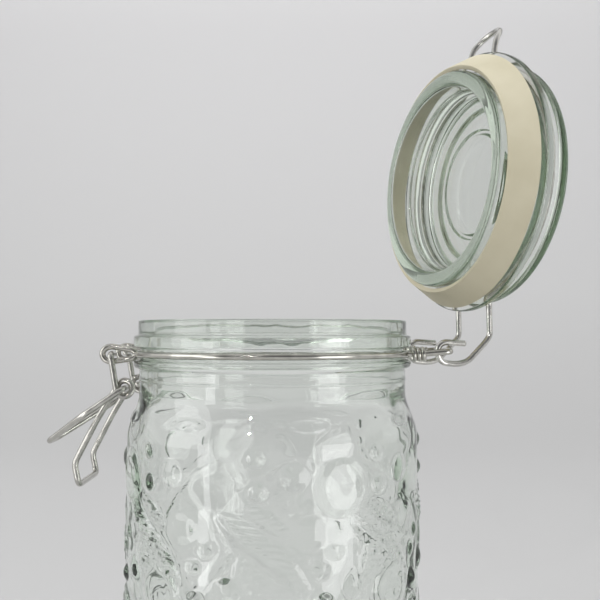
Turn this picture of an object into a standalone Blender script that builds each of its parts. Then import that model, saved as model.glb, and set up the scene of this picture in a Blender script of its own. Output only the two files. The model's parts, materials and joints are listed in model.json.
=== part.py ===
"""Clip top preserving jar of pressed glass, standing open and empty.

The jar stands on the plane z = 0 with its axis on the z axis. The clamp is at -X and the
hinge at +X. The lid is open: its plane stands about upright over the hinge, turned a little
sideways by the play of its two long hooks on the hinge bar.

A steel neck wire sits in a groove below the rim. It carries two eyes for the lever at -X
and a bracket with a straight bar for the lid's hooks at +X. The lid is a glass disc with a
lip, a rubber ring round the lip, and a wire in the groove of its edge. One wire makes the
lever with its two coils, and another the bail that turns in these coils.
"""

import math

import bmesh
import bpy
import numpy as np
from mathutils import Matrix, Vector

MM = 0.001
GAP = 0.3 * MM
WIRE_R = 1.1 * MM

# The jar
JAR_H = 150 * MM
RIM_R = 49.1 * MM
MOUTH_R = 44.0 * MM
COLLAR_R = 50.7 * MM
GROOVE_R = 48.3 * MM
NECK_R = 48.6 * MM
BODY_R = 52.7 * MM
WALL = 3.6 * MM
FLOOR = 6.5 * MM
HEEL_R = 7.0 * MM
BASE_PAD_R = 34 * MM
BASE_RING_R = 41 * MM
BASE_RECESS = 0.8 * MM
NECK_END_Z = JAR_H - 25.5 * MM
SHOULDER_END_Z = JAR_H - 41 * MM
JAR_SEGMENTS = 56

# The pattern pressed into the body: fruits with a pair of leaves, in rows round the jar
RELIEF_TOP_Z = JAR_H - 41 * MM
RELIEF_LOW_Z = 18 * MM
RELIEF_ROWS = 17
RELIEF_EDGE = 6 * MM
FRUITS_ROUND = 8
FRUIT_R = 9.5 * MM
FRUIT_HIGH = 1.2 * MM
FIRST_FRUIT_DEG = 26 - 90
FIRST_FRUIT_Z = JAR_H - 52.5 * MM
ROW_DROP = 34 * MM
LEAF_TURN_DEG = 28
LEAF_DROP = 13.5 * MM
LEAF_HALF_LONG = 14 * MM
LEAF_HALF_WIDE = 5.5 * MM
LEAF_TILT_DEG = 52
LEAF_HIGH = 0.9 * MM

# The neck wire, its lever eyes and its hinge bracket
NECK_WIRE_Z = JAR_H - 11.9 * MM
NECK_WIRE_R = GROOVE_R + GAP + WIRE_R
EYE_X = -56.9 * MM
EYE_Y = 12.3 * MM
EYE_HALF_LONG = 3.4 * MM
EYE_HALF_HIGH = 2.7 * MM
BAR_X = 63.4 * MM
BAR_Z = JAR_H - 10.9 * MM
BAR_HALF = 14.4 * MM

# The lid, in its own frame: +Z out of its top, z = 0 near the lip's rim, the hinge at +X
LIP_R = 40.2 * MM
LIP_INNER_R = 34.6 * MM
LIP_LOW_Z = -2.2 * MM
LIP_ROUND = 1.5 * MM
LIP_STEP_Z = 5.6 * MM
LIP_STEP = 0.8 * MM
PANEL_R = 32.6 * MM
PANEL_IN_Z = 15 * MM
BOSS_R = 19.9 * MM
BOSS_STEP = 0.6 * MM
FLANGE_R = 48.7 * MM
FLANGE_Z = (10.8 * MM, 13.4 * MM)
LID_GROOVE_R = 42.4 * MM
LID_WIRE_Z = 16.1 * MM
DISC_R = 45.3 * MM
DISC_Z = (18.6 * MM, 22.3 * MM)
LID_SEGMENTS = 42
SEAL_THICK = 1.8 * MM
SEAL_INNER = (41.4 * MM, 0.2 * MM)
SEAL_OUTER = (46.75 * MM, 9.3 * MM)

# The lid's two places: shut on the jar, and open as it stands
LID_SHUT = Vector((0, 0, JAR_H - 9.0 * MM))
LID_OPEN = Vector((62.75 * MM, 0.7 * MM, JAR_H + 52.94 * MM))
LID_YAW_DEG = 21.3
LID_LEAN_DEG = -2.8

# The lid wire: its nose at the front, and two legs with long hooks at the back
LID_WIRE_R = LID_GROOVE_R + GAP + WIRE_R
NOSE_HALF = 9.6 * MM
NOSE_MM = ((-44.8, 9.4, 16.3), (-50.0, 8.2, 16.4), (-55.2, 7.9, 17.5), (-58.9, 6.3, 20.1),
           (-61.0, 3.0, 21.9), (-61.4, 0.0, 22.2))
LEG_HALF = 10.3 * MM
LEG_BEND_R = 57.5 * MM
HOOK_MM = ((60.9, 6.2), (60.8, -2.4), (62.2, -4.6), (65.8, -4.8), (68.2, -2.6), (68.5, 3.4),
           (67.4, 7.8), (60.2, 15.0))

# The lever and its bail
LINK_Y = EYE_Y + 2 * WIRE_R + GAP
COIL_R = 2.75 * MM
COIL_X = -52.1 * MM
COIL_Z = JAR_H - 24.0 * MM
COIL_STEP = 2 * WIRE_R + GAP
COIL_START_DEG = 176
COIL_END_DEG = 150 + 360
ARM_Y = LINK_Y - COIL_STEP
LEVER_ARM = (-62.0 * MM, JAR_H - 35.2 * MM)
LEVER_KINK = (-69.8 * MM, JAR_H - 50.6 * MM)
LEVER_END = (-68.2 * MM, JAR_H - 58.0 * MM)
BAIL_Y = LINK_Y + 2 * WIRE_R + GAP
BAIL_DOWN = Vector((-28.8, 0, -19.4)).normalized()
BAIL_KINK_LONG = 16.8 * MM
BAIL_KINK_Y = 17.0 * MM
BAIL_LONG = 35.2 * MM
BAIL_END_Y = 5.0 * MM
WIRE_INSIDE = 2.6 * MM


def material(name, colour, roughness, metallic):
    """A Principled material of one plain colour."""
    mat = bpy.data.materials.new(name)
    mat.use_nodes = True
    shader = mat.node_tree.nodes["Principled BSDF"]
    shader.inputs["Base Color"].default_value = (*colour, 1)
    shader.inputs["Roughness"].default_value = roughness
    shader.inputs["Metallic"].default_value = metallic
    return mat


def add_object(name, data, mat):
    """Link one named object with its own material."""
    obj = bpy.data.objects.new(name, data)
    bpy.context.scene.collection.objects.link(obj)
    data.materials.append(mat)
    return obj


def arc(centre, radius, start_deg, end_deg, count):
    """Points along a round corner of a profile, as (radius, height) pairs."""
    angles = np.radians(np.linspace(start_deg, end_deg, count))
    return [(centre[0] + radius * math.cos(a), centre[1] + radius * math.sin(a)) for a in angles]


def ease(start, end, count):
    """Points of a smooth S between two places of a profile, without its ends."""
    points = []
    for t in np.linspace(0, 1, count + 2)[1:-1]:
        s = t * t * (3 - 2 * t)
        points.append((start[0] + s * (end[0] - start[0]), start[1] + t * (end[1] - start[1])))
    return points


def turned(name, profile, segments, closed):
    """A solid of revolution, spun from a profile of (radius, height) points."""
    bm = bmesh.new()
    verts = [bm.verts.new((r, 0, z)) for r, z in profile]
    edges = [bm.edges.new(pair) for pair in zip(verts, verts[1:])]
    if closed:
        edges.append(bm.edges.new((verts[-1], verts[0])))
    bmesh.ops.spin(bm, geom=verts + edges, cent=(0, 0, 0), axis=(0, 0, 1), angle=math.tau,
                   steps=segments, use_merge=True)
    bmesh.ops.remove_doubles(bm, verts=bm.verts, dist=0.001 * MM)
    bmesh.ops.recalc_face_normals(bm, faces=bm.faces)
    mesh = bpy.data.meshes.new(name)
    bm.to_mesh(mesh)
    bm.free()
    return mesh


def soften(mesh, limit_deg=35):
    """Shade a turned mesh smooth, apart from its real edges."""
    mesh.shade_smooth()
    mesh.set_sharp_from_angle(angle=math.radians(limit_deg))


def round_corners(points, radius, count=4):
    """A route with each inner corner of a polyline replaced by a round bend."""
    points = [Vector(p) for p in points]
    route = [points[0]]
    for before, corner, after in zip(points, points[1:], points[2:]):
        back = before - corner
        ahead = after - corner
        cut = min(radius, 0.45 * back.length, 0.45 * ahead.length)
        start = corner + back.normalized() * cut
        end = corner + ahead.normalized() * cut
        for t in np.linspace(0, 1, count):
            route.append(start * (1 - t) ** 2 + corner * 2 * t * (1 - t) + end * t ** 2)
    route.append(points[-1])
    return route


def wire_curve(name, points, cyclic=False):
    """A round wire along a route of points, with flat ends."""
    curve = bpy.data.curves.new(name, "CURVE")
    curve.dimensions = "3D"
    curve.bevel_depth = WIRE_R
    curve.bevel_resolution = 2
    curve.use_fill_caps = not cyclic
    spline = curve.splines.new("POLY")
    spline.points.add(len(points) - 1)
    spline.points.foreach_set("co", [c for p in points for c in (*p, 1)])
    spline.use_cyclic_u = cyclic
    return curve


def fused_wires(name, curves, mat):
    """Several crossing wires joined into one body by a Boolean union."""
    parts = []
    for index, curve in enumerate(curves):
        source = add_object(f"{name}_run_{index}", curve, mat)
        evaluated = source.evaluated_get(bpy.context.evaluated_depsgraph_get())
        parts.append(bpy.data.meshes.new_from_object(evaluated))
        bpy.data.objects.remove(source)
    others = bpy.data.collections.new(f"{name}_runs")
    body = add_object(name, parts[0], mat)
    for index, mesh in enumerate(parts[1:]):
        others.objects.link(bpy.data.objects.new(f"{name}_part_{index}", mesh))
    union = body.modifiers.new("union", "BOOLEAN")
    union.operation = "UNION"
    union.operand_type = "COLLECTION"
    union.solver = "EXACT"
    union.collection = others
    evaluated = body.evaluated_get(bpy.context.evaluated_depsgraph_get())
    joined = bpy.data.meshes.new_from_object(evaluated)
    body.modifiers.clear()
    body.data = joined
    for obj in list(others.objects):
        bpy.data.objects.remove(obj)
    bpy.data.collections.remove(others)
    return body


def bump(distance):
    """Height of a rounded bump, 1 in its middle and 0 from distance 1 on."""
    inside = np.clip(1 - np.square(distance), 0, 1)
    return inside * np.sqrt(inside)


def relief(angle, z):
    """Height of the pressed pattern over the body at an angle and a height."""
    height = np.zeros_like(z)
    tilt = math.radians(LEAF_TILT_DEG)
    rows = int((FIRST_FRUIT_Z - RELIEF_LOW_Z) / ROW_DROP) + 1
    for row in range(rows):
        for index in range(FRUITS_ROUND):
            turn = math.radians(FIRST_FRUIT_DEG + (index + 0.5 * (row % 2)) * 360 / FRUITS_ROUND)
            fruit_z = FIRST_FRUIT_Z - row * ROW_DROP
            across = wrap(angle - turn) * BODY_R
            up = z - fruit_z
            fruit = FRUIT_HIGH * bump(np.hypot(across, up) / FRUIT_R)
            leaf_across = wrap(angle - turn + math.radians(LEAF_TURN_DEG)) * BODY_R
            leaf_up = up + LEAF_DROP
            along = leaf_across * math.cos(tilt) + leaf_up * math.sin(tilt)
            side = leaf_up * math.cos(tilt) - leaf_across * math.sin(tilt)
            leaf = LEAF_HIGH * bump(np.hypot(along / LEAF_HALF_LONG, side / LEAF_HALF_WIDE))
            height = np.maximum(height, np.maximum(fruit, leaf))
    edge = np.minimum(RELIEF_TOP_Z - z, z - RELIEF_LOW_Z) / RELIEF_EDGE
    return height * np.clip(edge, 0, 1)


def wrap(angle):
    """An angle brought to within half a turn of zero."""
    return (angle + math.pi) % math.tau - math.pi


def jar_profile():
    """The jar's section, from the middle of its base over the rim to the middle of its floor."""
    top = JAR_H
    heel_z = HEEL_R
    heel_centre = (BODY_R - HEEL_R, heel_z)
    points = [(0, 0), (BASE_PAD_R, 0), (BASE_PAD_R + MM, BASE_RECESS)]
    points += [(BASE_RING_R - MM, BASE_RECESS), (BASE_RING_R, 0)]
    points += arc(heel_centre, HEEL_R, -90, 0, 5)
    points += [(BODY_R, z) for z in np.linspace(RELIEF_LOW_Z, RELIEF_TOP_Z, RELIEF_ROWS)]
    points += ease((BODY_R, SHOULDER_END_Z), (NECK_R, NECK_END_Z), 4)
    points += [(NECK_R, NECK_END_Z), (NECK_R, top - 18 * MM), (NECK_R + 0.4 * MM, top - 17 * MM)]
    points += [(COLLAR_R - 0.6 * MM, top - 16.4 * MM), (COLLAR_R, top - 15.8 * MM)]
    points += [(COLLAR_R, top - 14.8 * MM), (COLLAR_R - 0.5 * MM, top - 14.2 * MM)]
    points += [(GROOVE_R, top - 13.8 * MM), (GROOVE_R, top - 10.0 * MM)]
    points += [(COLLAR_R - 0.5 * MM, top - 9.5 * MM), (COLLAR_R, top - 8.8 * MM)]
    points += [(COLLAR_R, top - 6.2 * MM), (COLLAR_R - 0.6 * MM, top - 5.4 * MM)]
    points += [(RIM_R, top - 5.1 * MM)]
    points += arc((RIM_R - MM, top - MM), MM, 0, 90, 3)
    points += arc((MOUTH_R + 1.2 * MM, top - 1.2 * MM), 1.2 * MM, 90, 180, 3)
    points += [(MOUTH_R, NECK_END_Z + 4 * MM)]
    inner_r = BODY_R - WALL
    points += ease((MOUTH_R, NECK_END_Z + 4 * MM), (inner_r, SHOULDER_END_Z), 4)
    corner = 8 * MM
    points += [(inner_r, SHOULDER_END_Z)]
    points += arc((inner_r - corner, FLOOR + corner), corner, 0, -90, 4)
    points += [(0, FLOOR)]
    return points


def make_jar(mat):
    """The pressed glass jar, with its relief raised on the outside of the body."""
    mesh = turned("jar_body", jar_profile(), JAR_SEGMENTS, closed=False)
    points = np.empty(3 * len(mesh.vertices), dtype=np.float32)
    mesh.vertices.foreach_get("co", points)
    points = points.reshape(-1, 3).astype(float)
    radius = np.hypot(points[:, 0], points[:, 1])
    outside = radius > BODY_R - 0.5 * WALL
    outside &= (points[:, 2] > RELIEF_LOW_Z) & (points[:, 2] < RELIEF_TOP_Z)
    raised = relief(np.arctan2(points[:, 1], points[:, 0]), points[:, 2])
    scale = 1 + np.where(outside, raised / np.maximum(radius, MM), 0)
    points[:, :2] *= scale[:, None]
    mesh.vertices.foreach_set("co", points.ravel())
    soften(mesh)
    return add_object("jar_body", mesh, mat)


def lever_eye(side):
    """A long closed eye in an upright plane, from the neck wire out to beyond the pivot."""
    inner_x = -math.sqrt(NECK_WIRE_R ** 2 - EYE_Y ** 2)
    outer = []
    for degrees in np.linspace(90, 270, 9):
        turn = math.radians(degrees)
        outer.append(Vector((EYE_X + EYE_HALF_LONG * math.cos(turn), side * EYE_Y,
                             NECK_WIRE_Z + EYE_HALF_HIGH * math.sin(turn))))
    rise = 0.55 * EYE_HALF_HIGH
    low = Vector((inner_x - 1.2 * MM, side * EYE_Y, NECK_WIRE_Z - rise))
    tip = Vector((inner_x, side * EYE_Y, NECK_WIRE_Z))
    high = Vector((inner_x - 1.2 * MM, side * EYE_Y, NECK_WIRE_Z + rise))
    return wire_curve("eye", outer + [low, tip, high], cyclic=True)


def hinge_bracket():
    """A wire from the neck wire out to the hinge bar and back."""
    inner_x = math.sqrt(NECK_WIRE_R ** 2 - BAR_HALF ** 2)
    near = [(inner_x, -BAR_HALF, NECK_WIRE_Z), (inner_x + 5 * MM, -BAR_HALF, NECK_WIRE_Z)]
    near += [(BAR_X, -BAR_HALF, BAR_Z)]
    far = [(x, -y, z) for x, y, z in reversed(near)]
    return wire_curve("bracket", round_corners(near + far, 2.0 * MM, 5))


def ring_points(radius, z, segments):
    """Points round a level ring, starting at +X."""
    turns = [math.tau * k / segments for k in range(segments)]
    return [Vector((radius * math.cos(a), radius * math.sin(a), z)) for a in turns]


def make_neck_wire(mat):
    """The wire round the neck, with its two eyes and its bracket fused on."""
    ring = wire_curve("ring", ring_points(NECK_WIRE_R, NECK_WIRE_Z, 48), cyclic=True)
    return fused_wires("neck_wire", [ring, lever_eye(-1), lever_eye(1), hinge_bracket()], mat)


def lid_profile():
    """The lid's section, from the middle of its top over the edge to the middle of its inside."""
    low_flange, top_flange = FLANGE_Z
    low_disc, top_disc = DISC_Z
    points = [(0, top_disc - 1.2 * MM), (28 * MM, top_disc - 1.2 * MM), (31 * MM, top_disc)]
    points += arc((DISC_R - MM, top_disc - MM), MM, 90, 0, 3)
    points += [(DISC_R, low_disc + 0.6 * MM), (DISC_R - 0.6 * MM, low_disc)]
    points += [(LID_GROOVE_R, low_disc - 0.4 * MM), (LID_GROOVE_R, top_flange + 0.4 * MM)]
    points += [(FLANGE_R - 0.8 * MM, top_flange), (FLANGE_R, top_flange - 0.8 * MM)]
    points += [(FLANGE_R, low_flange + 0.6 * MM), (FLANGE_R - 0.6 * MM, low_flange)]
    lip_z = LIP_LOW_Z + LIP_ROUND
    points += [(LIP_R, low_flange), (LIP_R, lip_z)]
    points += arc((LIP_R - LIP_ROUND, lip_z), LIP_ROUND, -30, -90, 3)
    points += arc((LIP_INNER_R + LIP_ROUND, lip_z), LIP_ROUND, -90, -150, 3)
    points += [(LIP_INNER_R, LIP_STEP_Z), (LIP_INNER_R - LIP_STEP, LIP_STEP_Z + LIP_STEP)]
    points += [(PANEL_R + 0.6 * MM, PANEL_IN_Z - 1.8 * MM), (PANEL_R - MM, PANEL_IN_Z)]
    points += [(BOSS_R + 0.6 * MM, PANEL_IN_Z), (BOSS_R, PANEL_IN_Z - BOSS_STEP)]
    points += [(0, PANEL_IN_Z - BOSS_STEP)]
    return points


def seal_profile():
    """The rubber ring's section: a flat strip, flared where it grips the lip."""
    inner = Vector(SEAL_INNER)
    outer = Vector(SEAL_OUTER)
    along = (outer - inner).normalized()
    across = Vector((-along.y, along.x)) * SEAL_THICK / 2
    middle = (inner + outer) / 2
    return [tuple(p) for p in (inner - across, middle - across, outer - across,
                               outer + across, middle + across, inner + across)]


def lid_wire_route():
    """The route of the lid's wire: hook, leg, half ring, nose, half ring, leg and hook."""
    z = LID_WIRE_Z
    leg_turn = math.asin(LEG_HALF / LID_WIRE_R)
    nose_turn = math.pi - math.asin(NOSE_HALF / LID_WIRE_R)
    hook = [(x * MM, height * MM) for x, height in HOOK_MM]
    hook.append((LEG_BEND_R, z + 0.9 * MM))
    leg = [(x, LEG_HALF, height) for x, height in hook]
    leg = round_corners(leg + [(LID_WIRE_R * math.cos(leg_turn) + 2 * MM, LEG_HALF, z)], 2.0 * MM, 4)
    side = []
    for turn in np.linspace(leg_turn + 0.05, nose_turn - 0.05, 16):
        side.append(Vector((LID_WIRE_R * math.cos(turn), LID_WIRE_R * math.sin(turn), z)))
    nose = [Vector(p) * MM for p in NOSE_MM]
    half = leg + side + nose
    mirrored = [Vector((p.x, -p.y, p.z)) for p in reversed(half[:-1])]
    return half + mirrored


def place(centre, yaw_deg, lean_deg):
    """The open lid's place: its axis turned sideways by yaw and up by lean from +X."""
    yaw = math.radians(yaw_deg)
    lean = math.radians(lean_deg)
    out = Vector((math.cos(lean) * math.cos(yaw), math.cos(lean) * math.sin(yaw), math.sin(lean)))
    side = Vector((-math.sin(yaw), math.cos(yaw), 0))
    back = side.cross(out)
    pose = Matrix((back, side, out)).transposed().to_4x4()
    pose.translation = centre
    return pose


def turn_axis(start, end):
    """The line about which one turn carries a body from its start to its end place."""
    move = end @ start.inverted()
    quaternion = move.to_quaternion()
    direction = quaternion.axis
    flat = move.translation - direction * move.translation.dot(direction)
    half = quaternion.angle / 2
    point = (flat + direction.cross(flat) / math.tan(half)) / 2
    return point, direction


def hinge_empty(name, point, direction):
    """An empty on a joint's axis, its own Z along the axis."""
    empty = bpy.data.objects.new(name, None)
    empty.empty_display_size = 0.01
    empty.matrix_world = Matrix.Translation(point) @ direction.to_track_quat("Z", "Y").to_matrix().to_4x4()
    bpy.context.scene.collection.objects.link(empty)
    return empty


def hang_on(empty, obj, pose):
    """Parent a moving piece to its joint's empty, keeping its place in the world."""
    obj.parent = empty
    obj.matrix_parent_inverse = empty.matrix_basis.inverted()
    obj.matrix_basis = pose


def make_lid(glass, rubber, steel):
    """The open lid: glass, rubber ring and wire, turning together on the hinge bar."""
    shut = Matrix.Translation(LID_SHUT)
    opened = place(LID_OPEN, LID_YAW_DEG, LID_LEAN_DEG)
    point, direction = turn_axis(shut, opened)
    empty = hinge_empty("lid_hinge", point, direction)
    lid_mesh = turned("lid_glass", lid_profile(), LID_SEGMENTS, closed=False)
    seal_mesh = turned("gasket", seal_profile(), LID_SEGMENTS, closed=True)
    soften(lid_mesh)
    soften(seal_mesh)
    hang_on(empty, add_object("lid_glass", lid_mesh, glass), opened)
    hang_on(empty, add_object("gasket", seal_mesh, rubber), opened)
    wire = add_object("lid_wire", wire_curve("lid_wire", lid_wire_route()), steel)
    hang_on(empty, wire, opened)


def from_pivot(points, pivot):
    """World points given from a pivot."""
    return [Vector(p) - pivot for p in points]


def coil(count):
    """One turn and a bit of the lever's wire round the coil's middle, stepping inwards."""
    points = []
    for t in np.linspace(0, 1, count):
        turn = math.radians(COIL_START_DEG + t * (COIL_END_DEG - COIL_START_DEG))
        points.append(Vector((COIL_X + COIL_R * math.cos(turn), LINK_Y - t * COIL_STEP,
                              COIL_Z + COIL_R * math.sin(turn))))
    return points


def make_lever(mat):
    """The lever: hooked ends in the eyes, links, coils, and arms that a short bar joins."""
    pivot = Vector((EYE_X, 0, NECK_WIRE_Z))
    half = round_corners([(EYE_X, EYE_Y - 3.2 * MM, NECK_WIRE_Z), (EYE_X, LINK_Y, NECK_WIRE_Z),
                          coil(2)[0]], 1.6 * MM, 4)[:-1]
    half += coil(15)
    arm = [(x, ARM_Y, z) for x, z in (LEVER_ARM, LEVER_KINK, LEVER_END)]
    half += round_corners([half[-1]] + arm + [(arm[-1][0], 0, arm[-1][2])], 2.2 * MM, 4)[1:-1]
    mirrored = [Vector((p.x, -p.y, p.z)) for p in reversed(half)]
    lever = add_object("lever", wire_curve("lever", from_pivot(half + mirrored, pivot)), mat)
    empty = hinge_empty("lever_swing", pivot, Vector((0, 1, 0)))
    hang_on(empty, lever, Matrix.Translation(pivot))


def make_bail(mat):
    """The bail: a long loop whose ends turn in the lever's coils."""
    pivot = Vector((COIL_X, 0, COIL_Z))
    end = pivot + BAIL_DOWN * BAIL_LONG
    kink = pivot + BAIL_DOWN * BAIL_KINK_LONG
    near = [(pivot.x, ARM_Y - WIRE_INSIDE, pivot.z), (pivot.x, BAIL_Y, pivot.z)]
    near += [(kink.x, BAIL_KINK_Y, kink.z), (end.x, BAIL_END_Y, end.z)]
    far = [(x, -y, z) for x, y, z in reversed(near)]
    route = round_corners(near + far, 2.2 * MM, 4)
    bail = add_object("bail", wire_curve("bail", from_pivot(route, pivot)), mat)
    empty = hinge_empty("bail_swing", pivot, Vector((0, 1, 0)))
    hang_on(empty, bail, Matrix.Translation(pivot))


def build():
    """Clear the scene and make the jar."""
    for obj in list(bpy.data.objects):
        bpy.data.objects.remove(obj)
    make_jar(material("jar_glass", (0.82, 0.88, 0.85), 0.05, 0.0))
    make_neck_wire(material("neck_steel", (0.50, 0.50, 0.48), 0.35, 1.0))
    make_lid(material("lid_glass", (0.80, 0.87, 0.83), 0.05, 0.0),
             material("seal_rubber", (0.62, 0.57, 0.42), 0.65, 0.0),
             material("lid_steel", (0.52, 0.52, 0.50), 0.32, 1.0))
    make_lever(material("lever_steel", (0.52, 0.52, 0.49), 0.32, 1.0))
    make_bail(material("bail_steel", (0.48, 0.48, 0.46), 0.36, 1.0))


build()
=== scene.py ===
# %% [markdown]
# # A clip top jar, standing open and empty
#
# The jar is pressed glass: thick, faintly green, and never quite even. Steel wires hold a
# glass lid and a rubber ring to it. The frame below brings the jar's solids at their real
# size and place. This lesson gives each of them its finished surface, one piece at a time.

# %% The frame
import json
import math

import bpy
import numpy as np
from mathutils import Matrix, Vector


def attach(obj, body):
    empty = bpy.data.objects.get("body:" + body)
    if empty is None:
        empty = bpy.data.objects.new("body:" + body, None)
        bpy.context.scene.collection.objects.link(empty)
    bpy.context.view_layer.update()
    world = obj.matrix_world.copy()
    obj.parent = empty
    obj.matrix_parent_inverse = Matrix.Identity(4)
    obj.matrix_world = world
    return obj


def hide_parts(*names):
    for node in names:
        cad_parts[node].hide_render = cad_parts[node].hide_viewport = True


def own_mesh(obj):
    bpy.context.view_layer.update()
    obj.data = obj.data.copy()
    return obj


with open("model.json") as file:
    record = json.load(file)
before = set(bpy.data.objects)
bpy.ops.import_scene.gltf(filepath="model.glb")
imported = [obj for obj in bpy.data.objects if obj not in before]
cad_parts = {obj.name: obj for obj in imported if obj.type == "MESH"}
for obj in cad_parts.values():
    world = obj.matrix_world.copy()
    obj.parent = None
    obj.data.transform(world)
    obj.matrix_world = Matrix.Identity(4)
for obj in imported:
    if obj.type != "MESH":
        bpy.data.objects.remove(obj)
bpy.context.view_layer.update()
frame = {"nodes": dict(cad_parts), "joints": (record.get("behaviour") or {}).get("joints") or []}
MM = 0.001
print("solids:", sorted(frame["nodes"]))

# %% [markdown]
# ## Surfaces from arrays
#
# Every piece is a stack of closed rings of points. Two neighbouring rings are joined by a
# band of quads. A lathe turns a profile round the z axis, so each profile point becomes a
# ring. A wire carries a circle along a path, so each path point becomes a ring. One helper
# can therefore close and join them all, and turn the faces outwards by the volume's sign.

# %% Joining rings into a closed skin
def skin(rings, ends="fan"):
    """Vertices and blocks of faces of a stack of closed rings, an array (rings, points, 3).

    Quad (i, j) joins points j and j + 1 of rings i and i + 1. With ends="fan" the first and
    last ring are closed by triangles to their mean point, and with ends="loop" the last
    ring joins the first. The volume grows with the sum of (middle . normal) over the quads,
    and where it is negative every face is turned round.
    """
    count, points = rings.shape[:2]
    column = np.arange(points)
    ahead = (column + 1) % points
    row = np.arange(count if ends == "loop" else count - 1)[:, None]
    above = (row + 1) % count
    quads = np.stack([row * points + column, row * points + ahead,
                      above * points + ahead, above * points + column], axis=-1).reshape(-1, 4)
    verts = rings.reshape(-1, 3)
    corners = verts[quads]
    crossed = np.cross(corners[:, 2] - corners[:, 0], corners[:, 3] - corners[:, 1])
    volume = (corners.mean(axis=1) * crossed).sum()
    blocks = [quads]
    if ends == "fan":
        first, last = len(verts), len(verts) + 1
        verts = np.vstack([verts, rings[0].mean(axis=0), rings[-1].mean(axis=0)])
        top = (count - 1) * points
        blocks += [np.stack([ahead, column, np.full(points, first)], axis=1),
                   np.stack([top + column, top + ahead, np.full(points, last)], axis=1)]
    order = -1 if volume < 0 else 1
    return verts, [block[:, ::order] for block in blocks]


square = np.array([(0, 0), (1, 0), (1, 1), (0, 1)]) * MM
prism = np.stack([np.column_stack([square, np.full(4, z)]) for z in (0, MM)])
print("a square prism has faces in blocks of", [len(block) for block in skin(prism)[1]])


# %% Making a piece of one or more skins
def make_piece(name, skins, body, node, material):
    """One mesh object from one or more skins, riding on a body in place of a solid."""
    verts, faces, offset = [], [], 0
    for points, blocks in skins:
        verts.append(points)
        for block in blocks:
            faces += (block + offset).tolist()
        offset += len(points)
    mesh = bpy.data.meshes.new(name)
    mesh.from_pydata(np.vstack(verts).tolist(), [], faces)
    mesh.shade_smooth()
    mesh.materials.append(material)
    piece = bpy.data.objects.new(name, mesh)
    bpy.context.scene.collection.objects.link(piece)
    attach(piece, body)
    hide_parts(node)
    print(f"{name}: {len(mesh.polygons)} faces")
    return piece


# %% Turning a profile and rounding its corners
def turned(profile, around):
    """Rings of a surface of revolution: point (r, z) goes to (r cos a, r sin a, z)."""
    angle = np.linspace(0, math.tau, around, endpoint=False)
    radius, height = profile[:, :1], profile[:, 1:]
    return np.stack([radius * np.cos(angle), radius * np.sin(angle),
                     height + 0 * angle], axis=-1)


def rounded(points, cut, steps=8):
    """A path whose inner corners are replaced by arcs of a parabola.

    Between the cut places a and b beside a corner c, the path is the quadratic curve
    a (1 - t)^2 + 2 c t (1 - t) + b t^2. cut is one length for all corners or one for each,
    and never takes more than 0.48 of a side.
    """
    points = np.asarray(points, dtype=float)
    corner = points[1:-1]
    back = points[:-2] - corner
    ahead = points[2:] - corner
    back_long = np.linalg.norm(back, axis=1, keepdims=True)
    ahead_long = np.linalg.norm(ahead, axis=1, keepdims=True)
    wanted = np.broadcast_to(np.asarray(cut, dtype=float), (len(corner),))[:, None]
    reach = np.minimum(wanted, 0.48 * np.minimum(back_long, ahead_long))
    start = (corner + back / back_long * reach)[:, None]
    end = (corner + ahead / ahead_long * reach)[:, None]
    t = np.linspace(0, 1, steps)[None, :, None]
    bends = start * (1 - t) ** 2 + corner[:, None] * 2 * t * (1 - t) + end * t ** 2
    return np.vstack([points[:1], bends.reshape(-1, points.shape[1]), points[-1:]])


def evenly(points, step):
    """The same path with points at even spacing, by its own length, and no doubled point."""
    gaps = np.linalg.norm(np.diff(points, axis=0), axis=1)
    keep = np.concatenate([[True], gaps > 1e-9])
    points = points[keep]
    along = np.concatenate([[0], np.cumsum(np.linalg.norm(np.diff(points, axis=0), axis=1))])
    places = np.linspace(0, along[-1], max(3, int(along[-1] / step) + 1))
    return np.stack([np.interp(places, along, axis) for axis in points.T], axis=1)


def finer(profile, step):
    """A profile with its long gaps divided, so that none is as long as two steps."""
    pieces = [np.linspace(a, b, max(1, int(np.linalg.norm(b - a) / step)) + 1)[:-1]
              for a, b in zip(profile[:-1], profile[1:])]
    return np.vstack(pieces + [profile[-1:]])


bent = rounded([(0, 0), (10 * MM, 0), (10 * MM, 10 * MM)], 2 * MM)
print("a rounded corner has", len(bent), "points, and every 1 mm", len(evenly(bent, MM)))


# %% Carrying a circle along a wire's path
WIRE_SIDES = 18


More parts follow.
